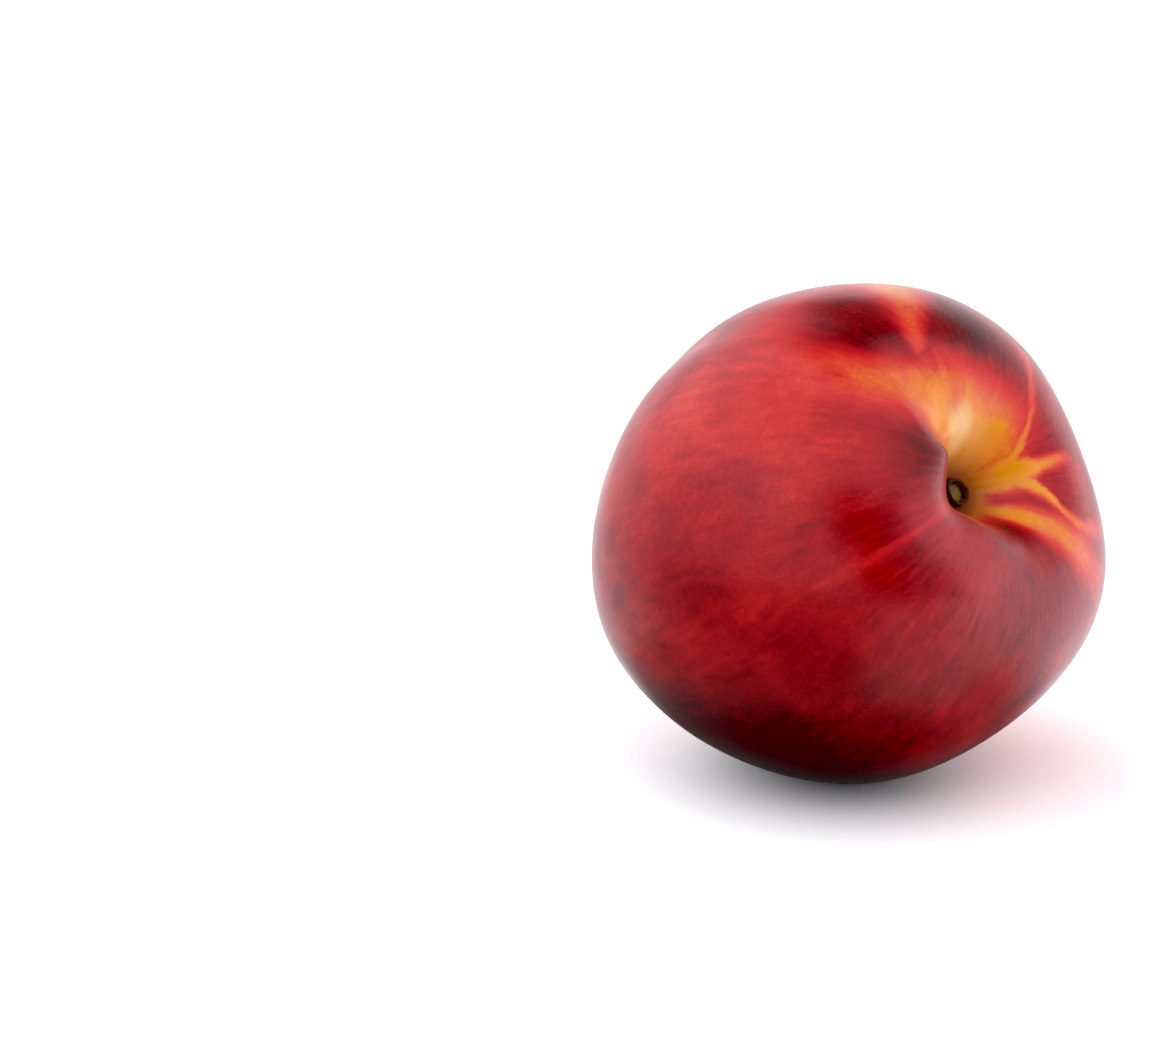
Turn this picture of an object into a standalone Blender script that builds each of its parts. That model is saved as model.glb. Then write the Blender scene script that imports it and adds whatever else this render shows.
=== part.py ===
"""Nectarine: one whole ripe fruit and the woody stub of its stalk.

The fruit lies tipped over, with its stem end turned towards -Y and raised, on the small
flat spot pressed into its underside. The origin is the middle of that spot.

The shape is worked out in the fruit's own axes, in millimetres: +Z is the stem axis,
out of the stem cavity, and +X is the side of the suture, the shallow groove that runs
from the cavity to the blossom end. Angles are a polar angle from the stem axis and a
longitude from the suture.
"""

import math

import bmesh
import bpy
import numpy as np
from mathutils import Matrix, Vector

MM = 0.001

# Body of the fruit
RADIUS = 33.6
HALF_HEIGHT = 33.7
TAPER = 0.05  # the stem half is wider by this share, and the blossom half narrower

# How it lies
STEM_RISE = math.radians(29.6)  # stem axis above the horizontal
SUTURE_ROLL = math.radians(25.0)  # suture away from straight up, about the stem axis
CENTRE = (0.55, -0.58, 32.16)  # centre of the fruit, from the middle of the resting spot

# Broad swellings and flats: polar angle, longitude, height and reach. Angles in degrees.
SWELLINGS = (
    (42, -112, -1.2, 32),
    (49, -71, 1.9, 32),
    (57, -158, 1.75, 32),
    (74, 175, -1.8, 32),
    (100, 6, 0.6, 32),
    (129, 66, 2.4, 32),
)

# Stem cavity: a steep throat inside a wide funnel, each (depth, radius, power, stretch).
# The radius grows by the share stretch towards the longitude CAVITY_LEAN, where the side
# of the cavity is gentle, and shrinks by it on the opposite side.
THROAT = (5.5, 5.9, 4.0, 0.1)
FUNNEL = (7.5, 9.8, 2.8, 0.42)
CAVITY_LEAN = math.radians(-84.0)
CAVITY_EDGE = (math.radians(60.0), math.radians(95.0))  # polar angles where it dies out

# Creases that run over the rim of the cavity: longitude in degrees, depth, width in degrees.
# A depth below 0 is a fold that stands up.
CREASES = (
    (81, 2.2, 25),
    (31, -1.2, 19),
    (163, 0.8, 18),
    (-62, 0.3, 16),
)
CREASE_RADIUS = 7.5  # distance from the stem axis at which a crease is deepest

# Suture groove
SUTURE_DEPTH = 1.9
SUTURE_HALF_WIDTH = 5.0
SUTURE_START = (6.5, 10.0)  # it grows from nothing to full depth over this stretch
SUTURE_FADE = math.radians(35.0)
SUTURE_REST = 0.25  # share of its depth that it keeps down to the blossom end

# Blossom end: a dimple with a small point in it
DIMPLE_DEPTH = 2.0
DIMPLE_RADIUS = 6.0
POINT_HEIGHT = 1.3
POINT_RADIUS = 1.4

# Stalk stub: (distance from its axis, height above the cavity floor), from the top down.
# A rough raised rim surrounds a sunken, paler core.
STUB_GAP = 0.3
STUB_PROFILE = (
    (0.0, 0.65),
    (0.9, 0.6),
    (1.2, 0.75),
    (1.42, 1.35),
    (1.65, 1.5),
    (1.88, 1.35),
    (1.97, 0.9),
    (1.9, STUB_GAP),
    (0.0, STUB_GAP),
)
STUB_SIDES = 32
STUB_LOBES = ((3, 0.05, 0.4), (7, 0.035, 1.9))  # waves round it, share of radius, phase

# Fineness of the fruit's mesh
SPHERE_CUTS = 25  # cuts across each side of the cube that is blown up into the fruit
GATHER = 0.3  # share by which the grid is drawn in towards the stem cavity
GATHER_REACH = math.radians(60.0)


def remove_all():
    for obj in list(bpy.data.objects):
        bpy.data.objects.remove(obj)


def smooth_step(start, end, value):
    """0 before start and 1 after end, with a soft change between."""
    share = np.clip((value - start) / (end - start), 0.0, 1.0)
    return share * share * (3.0 - 2.0 * share)


def direction(polar, longitude):
    """Unit vector at a polar angle and a longitude in degrees."""
    polar, longitude = math.radians(polar), math.radians(longitude)
    flat = math.sin(polar)
    return np.array((flat * math.cos(longitude), flat * math.sin(longitude), math.cos(polar)))


def bump_around(cosine, reach):
    """1 where the angle from a direction is 0, and about a third at reach radians."""
    return np.exp((cosine - 1.0) / (1.0 - math.cos(reach)))


def cavity_depth(across, along):
    """How far the stem cavity sinks at a place across the stem axis."""
    away = np.hypot(across, along)
    lean = np.cos(np.arctan2(along, across) - CAVITY_LEAN)
    depth = 0.0
    for deep, radius, power, stretch in (THROAT, FUNNEL):
        depth = depth + deep / (1.0 + (away / (radius * (1.0 + stretch * lean))) ** power)
    return depth


def crease_depth(across, along):
    """How far the creases on the cavity's rim sink."""
    away = np.hypot(across, along) / CREASE_RADIUS
    longitude = np.arctan2(along, across)
    depth = 0.0
    for where, deep, width in CREASES:
        near = bump_around(np.cos(longitude - math.radians(where)), math.radians(width))
        depth = depth + deep * near
    return depth * away**2 * np.exp(1.0 - away**2)


def body_points(rays):
    """The fruit without its groove and hollows, along unit vectors."""
    spread = RADIUS * (1.0 + TAPER * rays[:, 2:])
    points = np.hstack((rays[:, :2] * spread, rays[:, 2:] * HALF_HEIGHT))
    for polar, longitude, height, reach in SWELLINGS:
        near = bump_around(rays @ direction(polar, longitude), math.radians(reach))
        points += rays * (height * near)[:, None]
    return points


def skin_points(rays):
    """Points of the skin along unit vectors from the fruit's centre, in its own axes."""
    points = body_points(rays)
    polar = np.arccos(np.clip(rays[:, 2], -1.0, 1.0))

    share = SUTURE_REST + (1.0 - SUTURE_REST) * np.exp(-((polar / SUTURE_FADE) ** 2))
    share *= smooth_step(*SUTURE_START, points[:, 0])
    share *= np.exp(-((points[:, 1] / SUTURE_HALF_WIDTH) ** 2))
    points -= rays * (SUTURE_DEPTH * share)[:, None]

    across, along = points[:, 0], points[:, 1]
    stem_end = 1.0 - smooth_step(*CAVITY_EDGE, polar)
    sink = cavity_depth(across, along) + crease_depth(across, along)
    points[:, 2] -= sink * stem_end

    away = np.hypot(across, along)
    blossom_end = smooth_step(math.radians(100.0), math.radians(130.0), polar)
    dimple = DIMPLE_DEPTH * np.exp(-((away / DIMPLE_RADIUS) ** 2))
    point = POINT_HEIGHT * np.exp(-((away / POINT_RADIUS) ** 2))
    points[:, 2] += (dimple - point) * blossom_end
    return points


def lying_axes():
    """Rotation from the fruit's own axes to the way it lies."""
    stem = Vector((0.0, -math.cos(STEM_RISE), math.sin(STEM_RISE)))
    upright = Vector((0.0, math.sin(STEM_RISE), math.cos(STEM_RISE)))
    suture = Matrix.Rotation(SUTURE_ROLL, 3, stem) @ upright
    return Matrix((suture, stem.cross(suture), stem)).transposed()


def ball_of_rays():
    """A cube cut into a grid and blown up to a unit ball, finer around the stem axis."""
    ball = bmesh.new()
    bmesh.ops.create_cube(ball, size=2.0)
    bmesh.ops.subdivide_edges(ball, edges=ball.edges[:], cuts=SPHERE_CUTS, use_grid_fill=True)
    for vert in ball.verts:
        ray = Vector([math.tan(value * math.pi / 4.0) for value in vert.co]).normalized()
        polar = math.acos(max(-1.0, min(1.0, ray.z)))
        polar *= 1.0 - GATHER * math.exp(-((polar / GATHER_REACH) ** 2))
        longitude = math.atan2(ray.y, ray.x)
        vert.co = Vector(direction(math.degrees(polar), math.degrees(longitude)))
    return ball


def principled(name, color, roughness):
    material = bpy.data.materials.new(name)
    material.use_nodes = True
    shader = material.node_tree.nodes["Principled BSDF"]
    shader.inputs["Base Color"].default_value = (*color, 1.0)
    shader.inputs["Roughness"].default_value = roughness
    shader.inputs["Metallic"].default_value = 0.0
    return material


def add_object(name, shape, material):
    mesh = bpy.data.meshes.new(name)
    bmesh.ops.recalc_face_normals(shape, faces=shape.faces[:])
    shape.to_mesh(mesh)
    shape.free()
    mesh.shade_smooth()
    mesh.materials.append(material)
    obj = bpy.data.objects.new(name, mesh)
    bpy.context.scene.collection.objects.link(obj)
    return obj


def make_fruit():
    """Flesh and skin, one solid, pressed flat where it rests."""
    ball = ball_of_rays()
    rays = np.array([vert.co[:] for vert in ball.verts])
    turned = skin_points(rays) @ np.array(lying_axes()).T
    for vert, point in zip(ball.verts, turned + np.array(CENTRE)):
        vert.co = Vector((point[0], point[1], max(point[2], 0.0))) * MM
    return add_object("fruit", ball, principled("skin", (0.38, 0.03, 0.03), 0.28))


def make_stem_axis():
    """An empty at the bottom of the stem cavity, with its +Z out along the stem axis."""
    axes = lying_axes()
    floor = skin_points(np.array([[0.0, 0.0, 1.0]]))[0]
    empty = bpy.data.objects.new("stem_axis", None)
    empty.location = (Vector(CENTRE) + axes @ Vector(floor)) * MM
    empty.rotation_euler = axes.to_euler()
    bpy.context.scene.collection.objects.link(empty)
    return empty


def make_stub(stem_axis):
    """The stub that stays when the stalk breaks off. Its foot follows the cavity floor."""
    stub = bmesh.new()
    spine = [stub.verts.new((away, 0.0, height)) for away, height in STUB_PROFILE]
    edges = [stub.edges.new(pair) for pair in zip(spine, spine[1:])]
    bmesh.ops.spin(
        stub,
        geom=spine + edges,
        cent=(0.0, 0.0, 0.0),
        axis=(0.0, 0.0, 1.0),
        angle=2.0 * math.pi,
        steps=STUB_SIDES,
    )
    bmesh.ops.remove_doubles(stub, verts=stub.verts[:], dist=0.001)
    floor = cavity_depth(0.0, 0.0)
    for vert in stub.verts:
        longitude = math.atan2(vert.co.y, vert.co.x)
        swell = 1.0
        for waves, share, phase in STUB_LOBES:
            swell += share * math.cos(waves * longitude + phase)
        vert.co.x *= swell
        vert.co.y *= swell
        vert.co.z += floor - cavity_depth(vert.co.x, vert.co.y)
        vert.co *= MM
    obj = add_object("stalk_stub", stub, principled("stalk_wood", (0.12, 0.075, 0.03), 0.75))
    obj.parent = stem_axis
    return obj


def main():
    remove_all()
    make_fruit()
    make_stub(make_stem_axis())


main()
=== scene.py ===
"""Nectarine, the looks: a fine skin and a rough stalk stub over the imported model.

The shape is worked out in the fruit's own axes, in millimetres: +Z is the stem axis, out
of the stem cavity, and +X is the side of the suture. Angles are a polar angle from the
stem axis and a longitude from the suture. The colour pattern uses the same angles, because
a nectarine's blush and its streaks run along meridians from the stem.
"""

import math

import bmesh
import bpy
import numpy as np
from mathutils import Matrix, Vector, noise


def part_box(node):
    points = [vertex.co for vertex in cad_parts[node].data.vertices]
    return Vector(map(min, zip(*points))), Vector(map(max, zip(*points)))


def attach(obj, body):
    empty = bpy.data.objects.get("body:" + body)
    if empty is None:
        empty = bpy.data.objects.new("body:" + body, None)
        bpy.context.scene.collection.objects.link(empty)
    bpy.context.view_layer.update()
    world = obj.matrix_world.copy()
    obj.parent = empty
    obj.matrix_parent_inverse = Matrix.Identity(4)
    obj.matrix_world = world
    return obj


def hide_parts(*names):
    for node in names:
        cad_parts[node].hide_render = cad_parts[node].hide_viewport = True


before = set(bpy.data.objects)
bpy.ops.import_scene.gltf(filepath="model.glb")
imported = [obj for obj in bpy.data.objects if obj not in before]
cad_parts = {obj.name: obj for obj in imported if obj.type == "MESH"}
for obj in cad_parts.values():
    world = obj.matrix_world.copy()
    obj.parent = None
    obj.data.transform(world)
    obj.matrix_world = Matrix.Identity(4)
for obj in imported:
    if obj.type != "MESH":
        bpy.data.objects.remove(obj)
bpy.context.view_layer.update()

MM = 0.001

# Body of the fruit and how it lies, as in the CAD model
RADIUS = 33.6
HALF_HEIGHT = 33.7
TAPER = 0.05
STEM_RISE = math.radians(29.6)
SUTURE_ROLL = math.radians(25.0)
CENTRE = (0.55, -0.58, 32.16)

# Broad swellings and flats: polar angle, longitude, height and reach. Angles in degrees.
SWELLINGS = (
    (42, -112, -1.2, 32),
    (49, -71, 1.9, 32),
    (57, -158, 1.75, 32),
    (74, 175, -1.8, 32),
    (100, 6, 0.6, 32),
    (129, 66, 2.4, 32),
)

# Stem cavity: (depth, radius, power, stretch) of its throat and its funnel. The lip of the
# throat is a little softer than in the CAD model, and so is the crease at 163 degrees.
THROAT = (5.5, 5.9, 3.6, 0.1)
FUNNEL = (7.5, 9.8, 2.8, 0.42)
CAVITY_LEAN = math.radians(-84.0)
CAVITY_EDGE = (math.radians(60.0), math.radians(95.0))

# Creases over the rim of the cavity: longitude in degrees, depth (below 0 it stands up), width
CREASES = (
    (81, 2.2, 25),
    (31, -1.2, 19),
    (163, 0.55, 22),
    (-62, 0.3, 16),
)
CREASE_RADIUS = 7.5

# Suture groove
SUTURE_DEPTH = 1.9
SUTURE_HALF_WIDTH = 5.0
SUTURE_START = (6.5, 10.0)
SUTURE_FADE = math.radians(35.0)
SUTURE_REST = 0.25

# Blossom end: a dimple with a small point in it
BLOSSOM_EDGE = (math.radians(100.0), math.radians(130.0))
DIMPLE_DEPTH = 2.0
DIMPLE_RADIUS = 6.0
POINT_HEIGHT = 1.3
POINT_RADIUS = 1.4

# Fineness and the faint unevenness of the skin
SPHERE_CUTS = 127  # cuts across each side of the cube that is blown up into the fruit
GATHER = 0.3  # share by which the grid is drawn in towards the stem cavity
GATHER_REACH = math.radians(60.0)
UNEVEN = ((0.12, 14.0), (0.03, 4.0))  # (height, size) of the waves in the skin
PUCKER = (0.06, 22, 4.0)  # height, number and radius of the fine folds round the stub
PUCKER_SLANT = 3.0  # how far the folds' waves shift over one such radius, in radians
MAP_MARGIN = 0.01  # bare share along each side of a cell of the skin's flat map

# Stalk stub: (distance from its axis, height above the cavity floor), from the top down
STUB_PROFILE = (
    (0.0, 0.65),
    (0.9, 0.6),
    (1.2, 0.75),
    (1.42, 1.35),
    (1.65, 1.5),
    (1.88, 1.35),
    (1.97, 0.9),
    (1.9, 0.3),
    (0.0, 0.3),
)
STUB_SIDES = 96
STUB_STEPS = 6  # rings between two points of the profile
STUB_LOBES = ((3, 0.05, 0.4), (7, 0.035, 1.9))
BARK_BUMPS = (0.10, 0.5)  # height and size of the bumps in the bark

# How red the skin is, from ground colour to the darkest blush: (amount, linear colour)
BLUSH_COLOURS = (
    (0.00, (0.50, 0.19, 0.004)),
    (0.12, (0.82, 0.33, 0.014)),
    (0.24, (0.88, 0.31, 0.036)),
    (0.36, (0.80, 0.17, 0.034)),
    (0.48, (0.72, 0.060, 0.030)),
    (0.60, (0.63, 0.021, 0.020)),
    (0.74, (0.43, 0.008, 0.012)),
    (0.86, (0.26, 0.002, 0.006)),
    (0.94, (0.16, 0.001, 0.004)),
    (1.00, (0.09, 0.0005, 0.003)),
)
BLUSH = 0.76  # how red the skin is where nothing below changes it

# Noise in the skin: (scale, detail, roughness). The scale of the clouds and the grain is per
# metre. That of the streaks is for a circle of radius 1 round the stem axis, and along a
# meridian they move on by STREAK_LENGTH of that radius for each degree.
CLOUD = (95.0, 5.0, 0.6)
GRAIN = (1600.0, 3.0, 0.7)
BROAD_STREAKS = (9.0, 4.0, 0.6)
STREAKS = (24.0, 4.0, 0.52)
STREAK_LENGTH = 0.006

# How far the noise changes the blush
CLOUD_BLUSH = 0.26
GRAIN_BLUSH = 0.09
STREAK_BLUSH = (0.04, 0.17)  # where the broad streaks are low, and where they are high
STREAK_CONTRAST = (0.38, 0.62)  # values of the broad streaks that count as low and as high
STREAKS_ON_GROUND = (0.5, 0.4)  # from this much ground colour up, this share of them is left

# How far the noise shifts the edges of the colours, in degrees
RAY_WOBBLE = 3.0
RAY_END_WOBBLE = 4.0
RING_WOBBLE = 2.0
PATCH_WOBBLE = (6.0, 5.0)  # by the clouds, by the grain
CREAM_AND_HIGHLIGHT_WOBBLE = 2.0
PAINTED_LIP_SHEEN_WOBBLE = 5.0
DULL_WOBBLE = 6.0

# Pale lenticels: scale per metre, where a dot starts and ends to fade, as a share of the
# distance between dots, and how far it takes the red away on bright and on the darkest skin
DOTS = (1500.0, (0.05, 0.35), (0.02, 0.14))

# The ground colour round the stem: polar angles in degrees where it starts and ends to fade,
# and how far it takes the red away
RING = (9.0, 16.0, 0.66)

# Rays of ground colour that run out from the stem. Each is a path of points: polar angle,
# longitude and half width in degrees, and how far it takes the red away.
RAYS = {
    "suture band": (
        (10, -14, 28, 0.60),
        (17, -14, 26, 0.60),
        (22, -8, 24, 0.58),
        (27, -4, 22, 0.51),
        (32, 2, 18, 0.42),
        (36, 7, 13, 0.36),
        (41, 9, 10.5, 0.32),
        (48, 13, 9, 0.16),
        (56, 15, 7, 0.0),
    ),
    "upper wall": (
        (8, -54, 54, 0.58),
        (18, -54, 51, 0.56),
        (23, -48, 39, 0.44),
        (28, -46, 38, 0.26),
        (34, -42, 34, 0.0),
    ),
    "wide ray": (
        (7, -161, 20, 0.62),
        (13, -162, 13.5, 0.60),
        (20, -162, 11.5, 0.56),
        (28, -161, 10, 0.47),
        (36, -161, 7.5, 0.36),
        (48, -161, 5, 0.0),
    ),
    "forked ray": (
        (9, -114, 16, 0.60),
        (15, -115, 12, 0.58),
        (18, -122, 10, 0.57),
        (20, -129, 8, 0.55),
        (22, -135, 6, 0.53),
        (24, -141, 4.6, 0.48),
        (28, -148, 3.8, 0.42),
        (32, -149, 3.8, 0.38),
        (37, -146, 4.5, 0.32),
        (45, -142, 4, 0.0),
    ),
    "short ray": (
        (8, -113, 26, 0.62),
        (17, -113, 19, 0.60),
        (20, -114, 11, 0.56),
        (23, -115, 5, 0.50),
        (28, -115, 3.2, 0.38),
        (34, -115, 2, 0.0),
    ),
    "thin ray": (
        (12, -109, 12, 0.60),
        (17, -103, 7, 0.52),
        (22, -94, 3.6, 0.42),
        (28, -85, 2.8, 0.34),
        (36, -78, 2.6, 0.26),
        (50, -70, 2, 0.0),
    ),
    "upper streak": (
        (34, -16, 4, 0.0),
        (39, -21, 5, 0.40),
        (45, -27, 6.5, 0.50),
        (54, -33, 8, 0.47),
        (66, -37, 9, 0.26),
        (84, -46, 9, 0.0),
    ),
    "lip line": (
        (10, 78, 8, 0.0),
        (15, 78, 5, 0.09),
        (28, 79, 2.0, 0.10),
        (36, 79, 1.4, 0.15),
        (48, 79, 1.4, 0.12),
        (56, 79, 1.4, 0.0),
    ),
}
RAY_SOFTNESS = 0.85  # share of its half width by which a ray fades on either side of its edge

# Patches that are redder or, below 0, less red: (polar angle, longitude, reach, amount). A
# patch is full inside the first share of its reach, and has faded out at the second.
PATCH_FADE = (0.35, 1.25)
PATCHES = {
    "by the suture": (50, -12, 15, 0.25),
    "upper shoulder, left": (42, -42, 13, 0.16),
    "upper shoulder, middle": (35, -55, 12, 0.12),
    "upper shoulder, right": (32, -72, 8, 0.05),
    "by the cavity": (14, 168, 6, 0.07),
    # Partly the skin's own mottling, partly painted reflection: deeper red where the skin mirrors the
    # dark open side of the tent
    "front high, left": (38, 67, 8, 0.05),
    "front high, right": (36, 90, 8, 0.05),
    # Painted shade: darker red low at the front and on the underside, where the fruit is shaded near
    # the floor
    "front low, painted shade": (78, 116, 30, 0.12),
    "underside, painted shade": (114, 118, 38, 0.32),
    "front lip": (18, 36, 16, 0.10),
    "left of the cavity": (30, 40, 14, 0.05),
    "below the cavity": (26, 112, 10, -0.08),
    "right shoulder": (33, -98, 10, 0.10),
    "right lip": (22, 150, 22, 0.10),
    "right side": (48, 160, 22, 0.08),
    "bright side": (62, 16, 34, -0.10),
    "shaded side": (118, -118, 44, -0.24),
    "tip": (180, 0, 9, -0.30),
}

# Pale cream place inside the cavity's lip, with a painted highlight on it: polar angle, longitude,
# reach, amount, colour
CREAM_AND_HIGHLIGHT = (17, -31, 5.6, 0.6, (1.0, 0.72, 0.34))

# A whitish pink painted sheen along the cavity's near lip: a path as for the rays, colour
PAINTED_LIP_SHEEN = (
    ((17, 112, 42, 0.0), (23, 112, 42, 0.17), (29, 112, 44, 0.13), (40, 112, 46, 0.0)),
    (0.60, 0.22, 0.27),
)

# Painted shade deep in the cavity, partly the skin's own darker brown round the stub: polar angles
# where it starts and ends to fade, amount, colour
PAINTED_THROAT_SHADE = (6.5, 16.0, 0.92, (0.24, 0.02, 0.0))

# Roughness of the skin, from the lowest to the highest, and what is added to it: in the throat
# (polar angles where it starts and ends to fade, amount), and along the near lip (a path as for
# the rays). Noise values of NOISE_SPREAD give the lowest and the highest.
ROUGHNESS = (0.18, 0.25)
NOISE_SPREAD = (0.3, 0.7)
DULL_THROAT = (8.0, 15.0, 0.4)
DULL_LIP = ((12, 108, 62, 0.0), (16, 108, 62, 0.15), (21, 108, 62, 0.15), (29, 108, 62, 0.0))

# The rest of the skin's finish
SKIN_GRAIN_HEIGHT = 0.00003
SKIN_FINISH = {
    "IOR": 1.38,
    "Sheen Weight": 0.14,
    "Sheen Roughness": 0.35,
    "Subsurface Weight": 0.08,
    "Subsurface Radius": (1.0, 0.25, 0.1),
    "Subsurface Scale": 0.0015,
}

# The stub's finish: its noise as for the skin, the colours of its bark and of its core, each
# (dark, light), and how far from its axis the core turns into bark, in metres
STUB_GRAIN = (2600.0, 5.0, 0.7)
STUB_CONTRAST = (0.35, 0.65)  # values of the grain that count as dark and as light
BARK = ((0.025, 0.012, 0.003), (0.10, 0.050, 0.010))
PITH = ((0.16, 0.10, 0.02), (0.30, 0.21, 0.06))
PITH_EDGE = (0.0009, 0.0013)
STUB_ROUGHNESS = (0.6, 0.85)
STUB_GRAIN_HEIGHT = 0.0001
STUB_FINISH = {"IOR": 1.3}

# Camera, placed by a point in the middle of the fruit, on the side of the stem cavity. Lens
# and sensor are in millimetres, heights and distances in metres.
LENS = 100.0
SENSOR = 36.0
CAMERA_AZIMUTH = math.radians(-41.6)
CAMERA_RISE = math.radians(17.0)
CAMERA_DISTANCE = 0.4344  # from the point, along the optical axis
POINT_ABOVE_FLOOR = 0.0335
POINT_ASIDE = 0.0825  # how far right of the optical axis the point lies, per metre away
POINT_BELOW = 0.0014  # how far below the optical axis it lies, per metre away

# Stage
FLOOR_SIZE = 6.0  # in metres
FLOOR_ROUGHNESS = 0.7
FLOOR_WHITE = (1.45, 1.45, 1.45)  # brighter than white, so that only the shadow's core shows
# Painted shade: the fruit sees a dark floor round its foot, in place of its shadow there
PAINTED_FLOOR_SHADE = (0.05, 0.05, 0.05)  # how the fruit sees the floor beside it
FLOOR_NEAR = (0.024, 0.044)  # beyond this far, in metres, the fruit sees the tent instead
BACKDROP_LIGHT = 1.2  # the tent behind the fruit, as the camera sees it
BLACK_LEVEL = 0.012  # the light that the view shows as black

# The light tent: its light, and fields of it that are brighter or darker. For each field, the
# azimuth of its middle from the camera's, half its width and how softly its sides end, its
# lowest and highest rise and how softly they end, all in degrees, and its light.
TENT_COLOUR = (0.98, 0.98, 1.02)
TENT_LIGHT = 1.12
TENT_FIELDS = {
    "floor": (0.0, 180.0, 1.0, -90.0, -12.0, 12.0, 0.35),
    "floor, behind": (180.0, 60.0, 40.0, -28.0, -12.0, 10.0, 1.2),
    "floor, front": (42.0, 22.0, 24.0, -52.0, -16.0, 12.0, 1.15),
    "floor, right": (90.0, 25.0, 38.0, -28.0, 2.0, 20.0, 2.1),
    "overhead": (0.0, 180.0, 1.0, 50.0, 90.0, 20.0, 1.36),
    "left box": (-90.0, 48.0, 22.0, 30.0, 48.0, 20.0, 1.75),
    "behind, high": (158.0, 24.0, 26.0, 38.0, 90.0, 18.0, 0.15),
    "window, high": (16.0, 23.0, 5.0, 18.0, 37.0, 5.0, 0.0),
    "window, low": (28.0, 26.0, 5.0, -3.0, 13.0, 4.0, 0.0),
}


def smooth_step(start, end, value):
    """0 before start and 1 after end, with a soft change between."""
    share = np.clip((value - start) / (end - start), 0.0, 1.0)
    return share * share * (3.0 - 2.0 * share)


def direction(polar, longitude):
    """Unit vector at a polar angle and a longitude in degrees."""
    polar, longitude = math.radians(polar), math.radians(longitude)
    flat = math.sin(polar)
    return np.array((flat * math.cos(longitude), flat * math.sin(longitude), math.cos(polar)))


def bump_around(cosine, reach):
    """1 where the angle from a direction is 0, and about a third at reach radians."""
    return np.exp((cosine - 1.0) / (1.0 - math.cos(reach)))


def cavity_depth(across, along):
    """How far the stem cavity sinks at a place across the stem axis."""
    away = np.hypot(across, along)
    lean = np.cos(np.arctan2(along, across) - CAVITY_LEAN)
    depth = 0.0
    for deep, radius, power, stretch in (THROAT, FUNNEL):
        depth = depth + deep / (1.0 + (away / (radius * (1.0 + stretch * lean))) ** power)
    return depth


def crease_depth(across, along):
    """How far the creases on the cavity's rim sink."""
    away = np.hypot(across, along) / CREASE_RADIUS
    longitude = np.arctan2(along, across)
    depth = 0.0
    for where, deep, width in CREASES:
        near = bump_around(np.cos(longitude - math.radians(where)), math.radians(width))
        depth = depth + deep * near
    return depth * away**2 * np.exp(1.0 - away**2)


def pucker_depth(across, along):
    """Fine folds that run in towards the stub."""
    height, folds, radius = PUCKER
    away = np.hypot(across, along) / radius
    waves = np.cos(folds * np.arctan2(along, across) + PUCKER_SLANT * away)
    return height * waves * away**4 * np.exp(2.0 * (1.0 - away**2))


def body_points(rays):
    """The fruit without its groove and hollows, along unit vectors."""
    spread = RADIUS * (1.0 + TAPER * rays[:, 2:])
    points = np.hstack((rays[:, :2] * spread, rays[:, 2:] * HALF_HEIGHT))
    for polar, longitude, height, reach in SWELLINGS:
        near = bump_around(rays @ direction(polar, longitude), math.radians(reach))
        points += rays * (height * near)[:, None]
    return points


def skin_points(rays):
    """Points of the skin along unit vectors from the fruit's centre, in its own axes."""
    points = body_points(rays)
    polar = np.arccos(np.clip(rays[:, 2], -1.0, 1.0))

    share = SUTURE_REST + (1.0 - SUTURE_REST) * np.exp(-((polar / SUTURE_FADE) ** 2))
    share *= smooth_step(*SUTURE_START, points[:, 0])
    share *= np.exp(-((points[:, 1] / SUTURE_HALF_WIDTH) ** 2))
    points -= rays * (SUTURE_DEPTH * share)[:, None]

    across, along = points[:, 0], points[:, 1]
    stem_end = 1.0 - smooth_step(*CAVITY_EDGE, polar)
    sink = cavity_depth(across, along) + crease_depth(across, along)
    points[:, 2] -= (sink + pucker_depth(across, along)) * stem_end

    away = np.hypot(across, along)
    blossom_end = smooth_step(*BLOSSOM_EDGE, polar)
    dimple = DIMPLE_DEPTH * np.exp(-((away / DIMPLE_RADIUS) ** 2))
    point = POINT_HEIGHT * np.exp(-((away / POINT_RADIUS) ** 2))
    points[:, 2] += (dimple - point) * blossom_end
    return points


def unevenness(points):
    """Slow, faint waves in the skin, as heights."""
    heights = np.zeros(len(points))
    for height, size in UNEVEN:
        heights += [height * noise.noise(Vector(point) / size) for point in points]
    return heights


def lying_axes():
    """Rotation from the fruit's own axes to the way it lies."""
    stem = Vector((0.0, -math.cos(STEM_RISE), math.sin(STEM_RISE)))
    upright = Vector((0.0, math.sin(STEM_RISE), math.cos(STEM_RISE)))
    suture = Matrix.Rotation(SUTURE_ROLL, 3, stem) @ upright
    return Matrix((suture, stem.cross(suture), stem)).transposed()


def lay_out_map(ball, layer):
    """Gives each side of the cube its own cell of a map, three across and two up."""
    for face in ball.faces:
        middle = face.calc_center_median()
        axis = max(range(3), key=lambda n: abs(middle[n]))
        others = [n for n in range(3) if n != axis]
        row = 0 if middle[axis] > 0 else 1
        for loop in face.loops:
            place = [(loop.vert.co[n] + 1.0) / 2.0 for n in others]
            place = [MAP_MARGIN + (1.0 - 2.0 * MAP_MARGIN) * value for value in place]
            loop[layer].uv = ((axis + place[0]) / 3.0, (row + place[1]) / 2.0)


def ball_of_rays():
    """A cube cut into a grid and blown up to a unit ball, finer around the stem axis."""
    ball = bmesh.new()
    bmesh.ops.create_cube(ball, size=2.0)
    bmesh.ops.subdivide_edges(ball, edges=ball.edges[:], cuts=SPHERE_CUTS, use_grid_fill=True)
    lay_out_map(ball, ball.loops.layers.uv.new("OFBake"))
    for vert in ball.verts:
        ray = Vector([math.tan(value * math.pi / 4.0) for value in vert.co]).normalized()
        polar = math.acos(max(-1.0, min(1.0, ray.z)))
        polar *= 1.0 - GATHER * math.exp(-((polar / GATHER_REACH) ** 2))
        longitude = math.atan2(ray.y, ray.x)
        vert.co = Vector(direction(math.degrees(polar), math.degrees(longitude)))
    return ball


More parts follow.
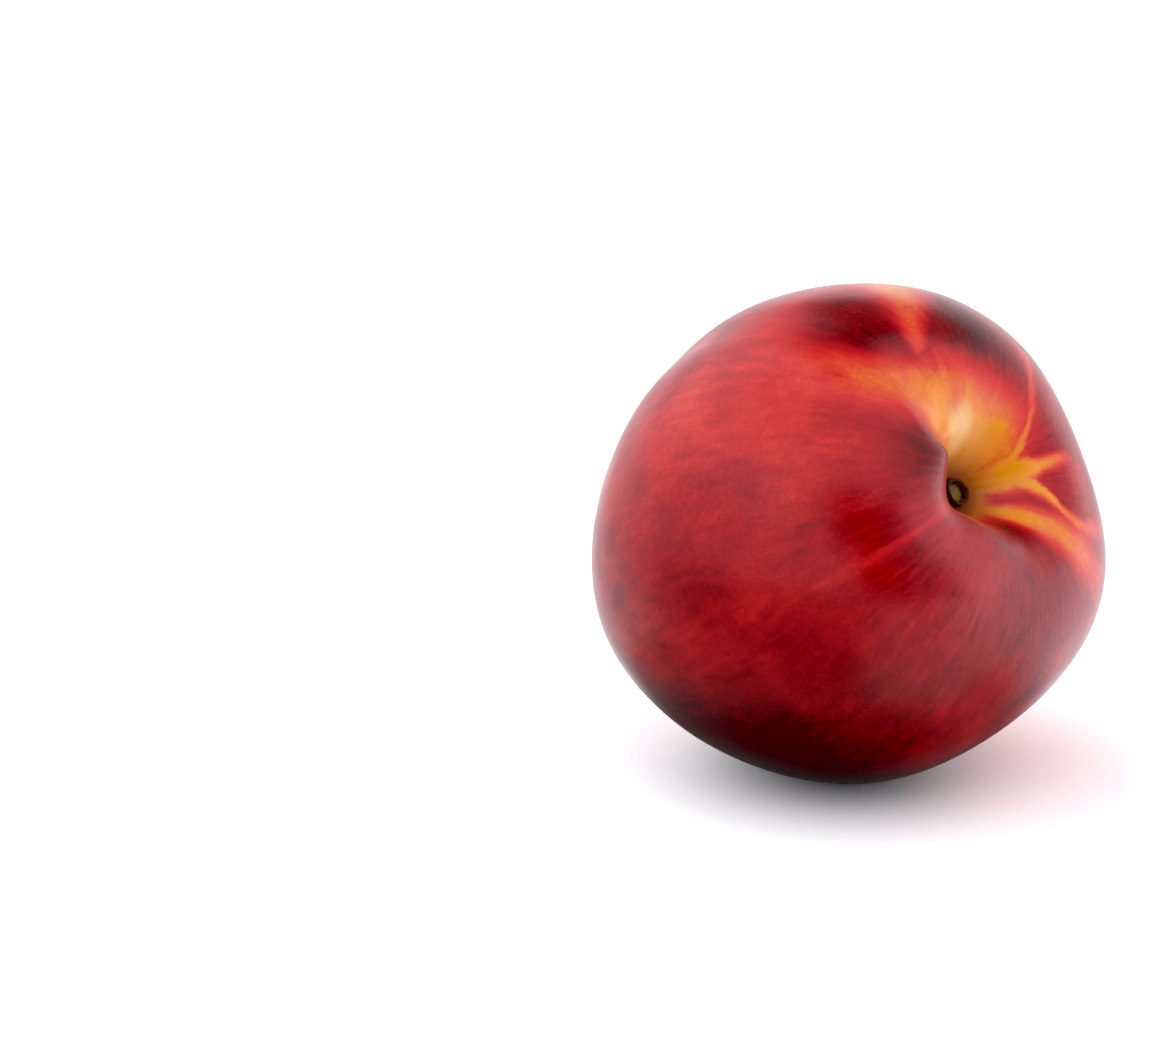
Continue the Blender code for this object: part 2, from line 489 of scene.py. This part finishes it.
def add_object(name, shape, origin):
    """Puts a mesh that was made in world space into an object with its origin at a place."""
    mesh = bpy.data.meshes.new(name)
    bmesh.ops.recalc_face_normals(shape, faces=shape.faces[:])
    bmesh.ops.translate(shape, verts=shape.verts[:], vec=-origin)
    shape.to_mesh(mesh)
    shape.free()
    mesh.shade_smooth()
    obj = bpy.data.objects.new(name, mesh)
    obj.location = origin
    bpy.context.scene.collection.objects.link(obj)
    return obj


def placed(points):
    """Points in the fruit's own axes, in millimetres, as world places in millimetres."""
    return points @ np.array(lying_axes()).T + np.array(CENTRE)


def make_skin():
    """The fruit's surface, pressed flat where it rests, and fitted to the CAD fruit's box."""
    ball = ball_of_rays()
    rays = np.array([vert.co[:] for vert in ball.verts])
    points = skin_points(rays)
    points += rays * unevenness(points)[:, None]
    world = placed(points)
    world[:, 2] = np.maximum(world[:, 2], 0.0)
    low, high = (np.array(corner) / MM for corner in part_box("fruit"))
    share = (high - low) / (world.max(axis=0) - world.min(axis=0))
    world = low + (world - world.min(axis=0)) * share
    for vert, point in zip(ball.verts, world):
        vert.co = Vector(point) * MM
    return add_object("fruit_skin", ball, Vector(CENTRE) * MM)


def fine_profile():
    """The stub's profile with rings added between its points, rounded off at its corners."""
    profile = []
    for (away, height), (next_away, next_height) in zip(STUB_PROFILE, STUB_PROFILE[1:]):
        for step in range(STUB_STEPS):
            share = step / STUB_STEPS
            ring = (away + (next_away - away) * share, height + (next_height - height) * share)
            profile.append(ring)
    profile.append(STUB_PROFILE[-1])
    for _ in range(STUB_STEPS // 2):
        inner = [
            tuple((a + 2.0 * b + c) / 4.0 for a, b, c in zip(before, here, after))
            for before, here, after in zip(profile, profile[1:], profile[2:])
        ]
        profile = [profile[0], *inner, profile[-1]]
    return profile


def make_stub():
    """The dry stub: a dark rim of bark round a paler core, following the cavity floor."""
    stub = bmesh.new()
    spine = [stub.verts.new((away, 0.0, height)) for away, height in fine_profile()]
    edges = [stub.edges.new(pair) for pair in zip(spine, spine[1:])]
    bmesh.ops.spin(
        stub,
        geom=spine + edges,
        cent=(0.0, 0.0, 0.0),
        axis=(0.0, 0.0, 1.0),
        angle=2.0 * math.pi,
        steps=STUB_SIDES,
    )
    bmesh.ops.remove_doubles(stub, verts=stub.verts[:], dist=0.001)
    bump_height, size = BARK_BUMPS
    floor = cavity_depth(0.0, 0.0)
    for vert in stub.verts:
        longitude = math.atan2(vert.co.y, vert.co.x)
        swell = 1.0
        for waves, share, phase in STUB_LOBES:
            swell += share * math.cos(waves * longitude + phase)
        place = Vector((vert.co.x / size, vert.co.y / size, vert.co.z / size / 2.0))
        bark = bump_height * noise.noise(place)
        top = min(1.0, max(0.0, vert.co.z - STUB_PROFILE[-1][1]))
        vert.co.x *= swell
        vert.co.y *= swell
        vert.co.z += floor - cavity_depth(vert.co.x, vert.co.y) + bark * top
        vert.co *= MM
    foot = Vector(placed(skin_points(np.array([[0.0, 0.0, 1.0]])))[0]) * MM
    stub.transform(Matrix.Translation(foot) @ lying_axes().to_4x4())
    return add_object("stalk_stub_wood", stub, foot)


def new_material(name):
    material = bpy.data.materials.new(name)
    material.use_nodes = True
    return material, Net(material.node_tree)


class Net:
    """A node tree, with short ways to add the nodes used here."""

    def __init__(self, tree):
        self.nodes = tree.nodes
        self.links = tree.links
        self.shader = self.nodes.get("Principled BSDF")

    def put(self, socket, value):
        """Links a socket, or sets it to a number or a colour."""
        if isinstance(value, bpy.types.NodeSocket):
            self.links.new(value, socket)
        elif isinstance(value, tuple) and len(value) == 3 and socket.type == "RGBA":
            socket.default_value = (*value, 1.0)
        else:
            socket.default_value = value

    def math(self, operation, *values):
        node = self.nodes.new("ShaderNodeMath")
        node.operation = operation
        for socket, value in zip(node.inputs, values):
            self.put(socket, value)
        return node.outputs[0]

    def vector(self, operation, *values, out="Vector"):
        node = self.nodes.new("ShaderNodeVectorMath")
        node.operation = operation
        for socket, value in zip(node.inputs, values):
            self.put(socket, value)
        return node.outputs[out]

    def split(self, vector):
        """The X, Y and Z sockets of a vector."""
        node = self.nodes.new("ShaderNodeSeparateXYZ")
        self.put(node.inputs[0], vector)
        return node.outputs

    def combine(self, x, y, z):
        node = self.nodes.new("ShaderNodeCombineXYZ")
        for socket, value in zip(node.inputs, (x, y, z)):
            self.put(socket, value)
        return node.outputs[0]

    def ramp(self, value, start, end, low=0.0, high=1.0, interpolation="SMOOTHSTEP"):
        """Runs from low at start to high at end."""
        node = self.nodes.new("ShaderNodeMapRange")
        node.interpolation_type = interpolation
        names = ("Value", "From Min", "From Max", "To Min", "To Max")
        for name, number in zip(names, (value, start, end, low, high)):
            self.put(node.inputs[name], number)
        return node.outputs[0]

    def noise(self, place, scale, detail, roughness):
        node = self.nodes.new("ShaderNodeTexNoise")
        self.put(node.inputs["Vector"], place)
        node.inputs["Scale"].default_value = scale
        node.inputs["Detail"].default_value = detail
        node.inputs["Roughness"].default_value = roughness
        return node.outputs["Fac"]

    def spots(self, place, scale):
        """Distance from the middle of the nearest of many scattered cells."""
        node = self.nodes.new("ShaderNodeTexVoronoi")
        self.put(node.inputs["Vector"], place)
        node.inputs["Scale"].default_value = scale
        return node.outputs["Distance"]

    def mix(self, share, first, second):
        node = self.nodes.new("ShaderNodeMix")
        node.data_type = "RGBA"
        self.put(node.inputs["Factor"], share)
        self.put(node.inputs["A"], first)
        self.put(node.inputs["B"], second)
        return node.outputs["Result"]

    def blend(self, share, first, second):
        """A number between two numbers."""
        node = self.nodes.new("ShaderNodeMix")
        self.put(node.inputs["Factor"], share)
        self.put(node.inputs["A"], first)
        self.put(node.inputs["B"], second)
        return node.outputs["Result"]

    def mix_shaders(self, share, first, second):
        node = self.nodes.new("ShaderNodeMixShader")
        for socket, value in zip(node.inputs, (share, first, second)):
            self.put(socket, value)
        return node.outputs[0]

    def curve(self, value, places, heights):
        """A smooth curve through heights at the given places, level beyond both ends."""
        low, high = min(heights), max(heights)
        start, end = places[0], places[-1]
        node = self.nodes.new("ShaderNodeFloatCurve")
        points = node.mapping.curves[0].points
        while len(points) < len(places):
            points.new(0.5, 0.5)
        for point, place, height in zip(points, places, heights):
            point.location = ((place - start) / (end - start), (height - low) / (high - low or 1.0))
        node.mapping.update()
        share = self.ramp(value, start, end, interpolation="LINEAR")
        self.put(node.inputs["Value"], share)
        return self.ramp(node.outputs["Value"], 0.0, 1.0, low, high, interpolation="LINEAR")

    def colours(self, value, stops):
        """Runs through colours at the given values."""
        node = self.nodes.new("ShaderNodeValToRGB")
        elements = node.color_ramp.elements
        while len(elements) < len(stops):
            elements.new(1.0)
        for element, (position, colour) in zip(elements, stops):
            element.position = position
            element.color = (*colour, 1.0)
        self.put(node.inputs["Fac"], value)
        return node.outputs["Color"]

    def turn_between(self, angle, other):
        """The turn from one angle to another, from -180 to 180 degrees."""
        return self.math("WRAP", self.math("SUBTRACT", angle, other), 180.0, -180.0)

    def shifted(self, value, amount):
        """A noise value from 0 to 1 turned into an offset from -amount to amount."""
        return self.math("MULTIPLY", self.math("SUBTRACT", value, 0.5), 2.0 * amount)

    def bump(self, height, distance):
        node = self.nodes.new("ShaderNodeBump")
        node.inputs["Distance"].default_value = distance
        self.put(node.inputs["Height"], height)
        return node.outputs[0]

    def set_finish(self, finish):
        """Sets the shader's own sockets to values that are the same all over."""
        for name, value in finish.items():
            self.shader.inputs[name].default_value = value


def place_from_origin(net):
    """The place from the object's origin, turned into the fruit's own axes, in metres."""
    turn = net.nodes.new("ShaderNodeMapping")
    turn.inputs["Rotation"].default_value = lying_axes().transposed().to_euler()
    net.put(turn.inputs["Vector"], net.nodes.new("ShaderNodeTexCoord").outputs["Object"])
    return turn.outputs[0]


class Skin:
    """The patterns of the skin, on the sockets that they share."""

    def __init__(self, net):
        self.net = net
        self.place = place_from_origin(net)
        self.ray = net.vector("NORMALIZE", self.place)
        parts = net.split(self.ray)
        self.polar = net.math("DEGREES", net.math("ARCCOSINE", parts["Z"]))
        self.longitude = net.math("DEGREES", net.math("ARCTAN2", parts["Y"], parts["X"]))
        drawn_out = self.drawn_out_place()
        self.cloud = net.noise(self.place, *CLOUD)
        self.grain = net.noise(self.place, *GRAIN)
        self.broad_streaks = net.noise(drawn_out, *BROAD_STREAKS)
        self.streaks = net.noise(drawn_out, *STREAKS)

    def drawn_out_place(self):
        """A place that changes fast round the stem axis and slowly along the meridians."""
        flat = self.net.vector("MULTIPLY", self.ray, (1.0, 1.0, 0.0))
        parts = self.net.split(self.net.vector("NORMALIZE", flat))
        along = self.net.math("MULTIPLY", self.polar, STREAK_LENGTH)
        return self.net.combine(parts["X"], parts["Y"], along)

    def polar_shifted(self, noise_value, amount):
        """The polar angle, shifted by a noise by up to amount degrees."""
        return self.net.math("ADD", self.polar, self.net.shifted(noise_value, amount))

    def ray_mask(self, polar, path):
        """A ray's strength: most along its middle, fading to its sides and ends."""
        net = self.net
        polars, longitudes, widths, strengths = zip(*path)
        middle = net.curve(polar, polars, longitudes)
        width = net.curve(polar, polars, widths)
        strength = net.curve(polar, polars, strengths)
        aside = net.turn_between(self.longitude, middle)
        aside = net.math("ADD", aside, net.shifted(self.broad_streaks, RAY_WOBBLE))
        aside = net.math("DIVIDE", net.math("ABSOLUTE", aside), width)
        side = net.ramp(aside, 1.0 - RAY_SOFTNESS, 1.0 + RAY_SOFTNESS, 1.0, 0.0)
        return net.math("MULTIPLY", side, strength)

    def patch_mask(self, polar, longitude, reach, amount, edge):
        """A soft round patch, with its edge shifted by edge degrees."""
        net = self.net
        middle = tuple(direction(polar, longitude))
        cosine = net.vector("DOT_PRODUCT", self.ray, middle, out="Value")
        angle = net.math("ADD", net.math("DEGREES", net.math("ARCCOSINE", cosine)), edge)
        full, faded = PATCH_FADE
        return net.ramp(angle, full * reach, faded * reach, amount, 0.0)

    def ground(self):
        """How far the ground colour round the stem and in its rays takes the red away."""
        start, end, amount = RING
        ground = self.net.ramp(self.polar_shifted(self.streaks, RING_WOBBLE), start, end, amount, 0.0)
        polar = self.polar_shifted(self.cloud, RAY_END_WOBBLE)
        for path in RAYS.values():
            ground = self.net.math("MAXIMUM", ground, self.ray_mask(polar, path))
        return ground

    def blush(self):
        """How red the skin is: clouded, grainy and streaked, less so on the ground colour."""
        net = self.net
        ground = self.ground()
        blush = net.math("ADD", net.shifted(self.cloud, CLOUD_BLUSH), BLUSH)
        share = net.ramp(self.broad_streaks, *STREAK_CONTRAST, *STREAK_BLUSH)
        enough, left = STREAKS_ON_GROUND
        share = net.math("MULTIPLY", share, net.ramp(ground, 0.0, enough, 1.0, left))
        streaks = net.math("MULTIPLY", net.shifted(self.streaks, 1.0), share)
        blush = net.math("ADD", blush, streaks)
        blush = net.math("ADD", blush, net.shifted(self.grain, GRAIN_BLUSH))
        by_cloud, by_grain = PATCH_WOBBLE
        edge = net.math("ADD", net.shifted(self.cloud, by_cloud), net.shifted(self.grain, by_grain))
        for patch in PATCHES.values():
            blush = net.math("ADD", blush, self.patch_mask(*patch, edge))
        blush = net.math("SUBTRACT", blush, ground)
        return net.math("SUBTRACT", blush, self.dots(blush))

    def dots(self, blush):
        """Pale lenticels, which show most on the darkest skin."""
        scale, (full, faded), amounts = DOTS
        dots = self.net.ramp(self.net.spots(self.place, scale), full, faded, 1.0, 0.0)
        return self.net.math("MULTIPLY", dots, self.net.ramp(blush, BLUSH, 1.0, *amounts))

    def colour(self):
        """The blush, with the painted shade, the cream with its painted highlight and the painted
        sheen in and by the cavity.
        """
        net = self.net
        colour = net.colours(self.blush(), BLUSH_COLOURS)
        # Painted shade deep in the cavity, partly the skin's own darker brown round the stub
        start, end, amount, shade = PAINTED_THROAT_SHADE
        colour = net.mix(net.ramp(self.polar, start, end, amount, 0.0), colour, shade)
        # The pale cream place, with a painted highlight on it
        *patch, cream_and_highlight = CREAM_AND_HIGHLIGHT
        edge = net.shifted(self.cloud, CREAM_AND_HIGHLIGHT_WOBBLE)
        colour = net.mix(self.patch_mask(*patch, edge), colour, cream_and_highlight)
        # Painted sheen: a whitish pink reflection painted along the near lip
        path, painted_sheen = PAINTED_LIP_SHEEN
        share = self.ray_mask(self.polar_shifted(self.streaks, PAINTED_LIP_SHEEN_WOBBLE), path)
        return net.mix(share, colour, painted_sheen)

    def roughness(self):
        """Glossy, but dull deep in the cavity and along its near lip."""
        net = self.net
        polar = self.polar_shifted(self.streaks, DULL_WOBBLE)
        start, end, amount = DULL_THROAT
        dull = net.ramp(polar, start, end, amount, 0.0)
        dull = net.math("ADD", dull, self.ray_mask(polar, DULL_LIP))
        return net.math("ADD", dull, net.ramp(self.cloud, *NOISE_SPREAD, *ROUGHNESS))


def skin_material():
    material, net = new_material("nectarine_skin")
    skin = Skin(net)
    net.put(net.shader.inputs["Base Color"], skin.colour())
    net.put(net.shader.inputs["Roughness"], skin.roughness())
    net.put(net.shader.inputs["Normal"], net.bump(skin.grain, SKIN_GRAIN_HEIGHT))
    net.set_finish(SKIN_FINISH)
    return material


def stub_material():
    material, net = new_material("stalk_wood")
    place = place_from_origin(net)
    away = net.vector("LENGTH", net.vector("MULTIPLY", place, (1.0, 1.0, 0.0)), out="Value")
    grain = net.noise(place, *STUB_GRAIN)
    bark = net.mix(net.ramp(grain, *STUB_CONTRAST), *BARK)
    pith = net.mix(net.ramp(grain, *STUB_CONTRAST), *PITH)
    net.put(net.shader.inputs["Base Color"], net.mix(net.ramp(away, *PITH_EDGE), pith, bark))
    net.put(net.shader.inputs["Roughness"], net.ramp(grain, *NOISE_SPREAD, *STUB_ROUGHNESS))
    net.put(net.shader.inputs["Normal"], net.bump(grain, STUB_GRAIN_HEIGHT))
    net.set_finish(STUB_FINISH)
    return material


def make_stage():
    """A plain white floor that runs out of sight."""
    floor = bmesh.new()
    bmesh.ops.create_grid(floor, x_segments=1, y_segments=1, size=FLOOR_SIZE)
    mesh = bpy.data.meshes.new("floor")
    floor.to_mesh(mesh)
    floor.free()
    obj = bpy.data.objects.new("floor", mesh)
    bpy.context.scene.collection.objects.link(obj)
    mesh.materials.append(floor_material())


def floor_material():
    """White to the camera. To the fruit it is dark close by, as painted shade, and lets the tent show
    further out.
    """
    material, net = new_material("floor_white")
    net.put(net.shader.inputs["Base Color"], FLOOR_WHITE)
    net.put(net.shader.inputs["Roughness"], FLOOR_ROUGHNESS)
    place = net.nodes.new("ShaderNodeTexCoord").outputs["Object"]
    away = net.vector("LENGTH", place, out="Value")
    # Painted shade: a dark floor for the fruit round its foot
    shade = net.nodes.new("ShaderNodeBsdfDiffuse")
    net.put(shade.inputs["Color"], PAINTED_FLOOR_SHADE)
    open_floor = net.nodes.new("ShaderNodeBsdfTransparent")
    as_lit = net.mix_shaders(net.ramp(away, *FLOOR_NEAR), shade.outputs[0], open_floor.outputs[0])
    seen = net.nodes.new("ShaderNodeLightPath").outputs["Is Camera Ray"]
    whole = net.mix_shaders(seen, as_lit, net.shader.outputs[0])
    net.put(net.nodes["Material Output"].inputs["Surface"], whole)
    return material


def make_world():
    """A white tent with its brighter and darker fields. To the camera it is plain white."""
    world = bpy.data.worlds.new("studio")
    world.use_nodes = True
    bpy.context.scene.world = world
    net = Net(world.node_tree)
    parts = net.split(net.nodes.new("ShaderNodeTexCoord").outputs["Generated"])
    side = net.math("ARCTAN2", parts["X"], net.math("MULTIPLY", parts["Y"], -1.0))
    side = net.math("SUBTRACT", net.math("DEGREES", side), math.degrees(CAMERA_AZIMUTH))
    rise = net.math("DEGREES", net.math("ARCSINE", parts["Z"]))
    light = TENT_LIGHT
    for middle, half_width, side_soft, low, high, soft, strength in TENT_FIELDS.values():
        aside = net.math("ABSOLUTE", net.turn_between(side, middle))
        field = net.ramp(aside, half_width, half_width + side_soft, 1.0, 0.0)
        field = net.math("MULTIPLY", field, net.ramp(rise, low - soft, low))
        field = net.math("MULTIPLY", field, net.ramp(rise, high, high + soft, 1.0, 0.0))
        light = net.blend(field, light, strength)
    room = net.nodes["Background"]
    net.put(room.inputs["Strength"], light)
    net.put(room.inputs["Color"], TENT_COLOUR)
    seen = net.nodes.new("ShaderNodeBackground")
    net.put(seen.inputs["Color"], (1.0, 1.0, 1.0))
    net.put(seen.inputs["Strength"], BACKDROP_LIGHT)
    camera_ray = net.nodes.new("ShaderNodeLightPath").outputs["Is Camera Ray"]
    whole = net.mix_shaders(camera_ray, room.outputs[0], seen.outputs[0])
    net.put(net.nodes["World Output"].inputs["Surface"], whole)


def make_camera():
    """A camera at its azimuth and rise, aimed past the fruit so that it lies to the right."""
    data = bpy.data.cameras.new("camera")
    data.lens = LENS
    data.sensor_width = SENSOR
    camera = bpy.data.objects.new("camera", data)
    bpy.context.scene.collection.objects.link(camera)
    level = math.cos(CAMERA_RISE)
    across, along = math.sin(CAMERA_AZIMUTH) * level, -math.cos(CAMERA_AZIMUTH) * level
    back = Vector((across, along, math.sin(CAMERA_RISE)))
    right = Vector((math.cos(CAMERA_AZIMUTH), math.sin(CAMERA_AZIMUTH), 0.0))
    up = back.cross(right)
    point = Vector((0.0, 0.0, POINT_ABOVE_FLOOR))
    sight = right * POINT_ASIDE - up * POINT_BELOW - back
    camera.location = point - sight * CAMERA_DISTANCE
    camera.rotation_mode = "QUATERNION"
    camera.rotation_quaternion = Matrix((right, up, back)).transposed().to_quaternion()
    bpy.context.scene.camera = camera


def set_view():
    """Plain display colours, with a black point that takes the haze off the deep reds."""
    settings = bpy.context.scene.view_settings
    settings.view_transform = "Standard"
    settings.use_curve_mapping = True
    settings.curve_mapping.black_level = (BLACK_LEVEL, BLACK_LEVEL, BLACK_LEVEL)
    settings.curve_mapping.update()


def main():
    make_camera()
    skin = make_skin()
    skin.data.materials.append(skin_material())
    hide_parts("fruit")
    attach(skin, "root")
    stub = make_stub()
    stub.data.materials.append(stub_material())
    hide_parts("stalk_stub")
    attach(stub, "root")
    make_stage()
    make_world()
    set_view()


main()
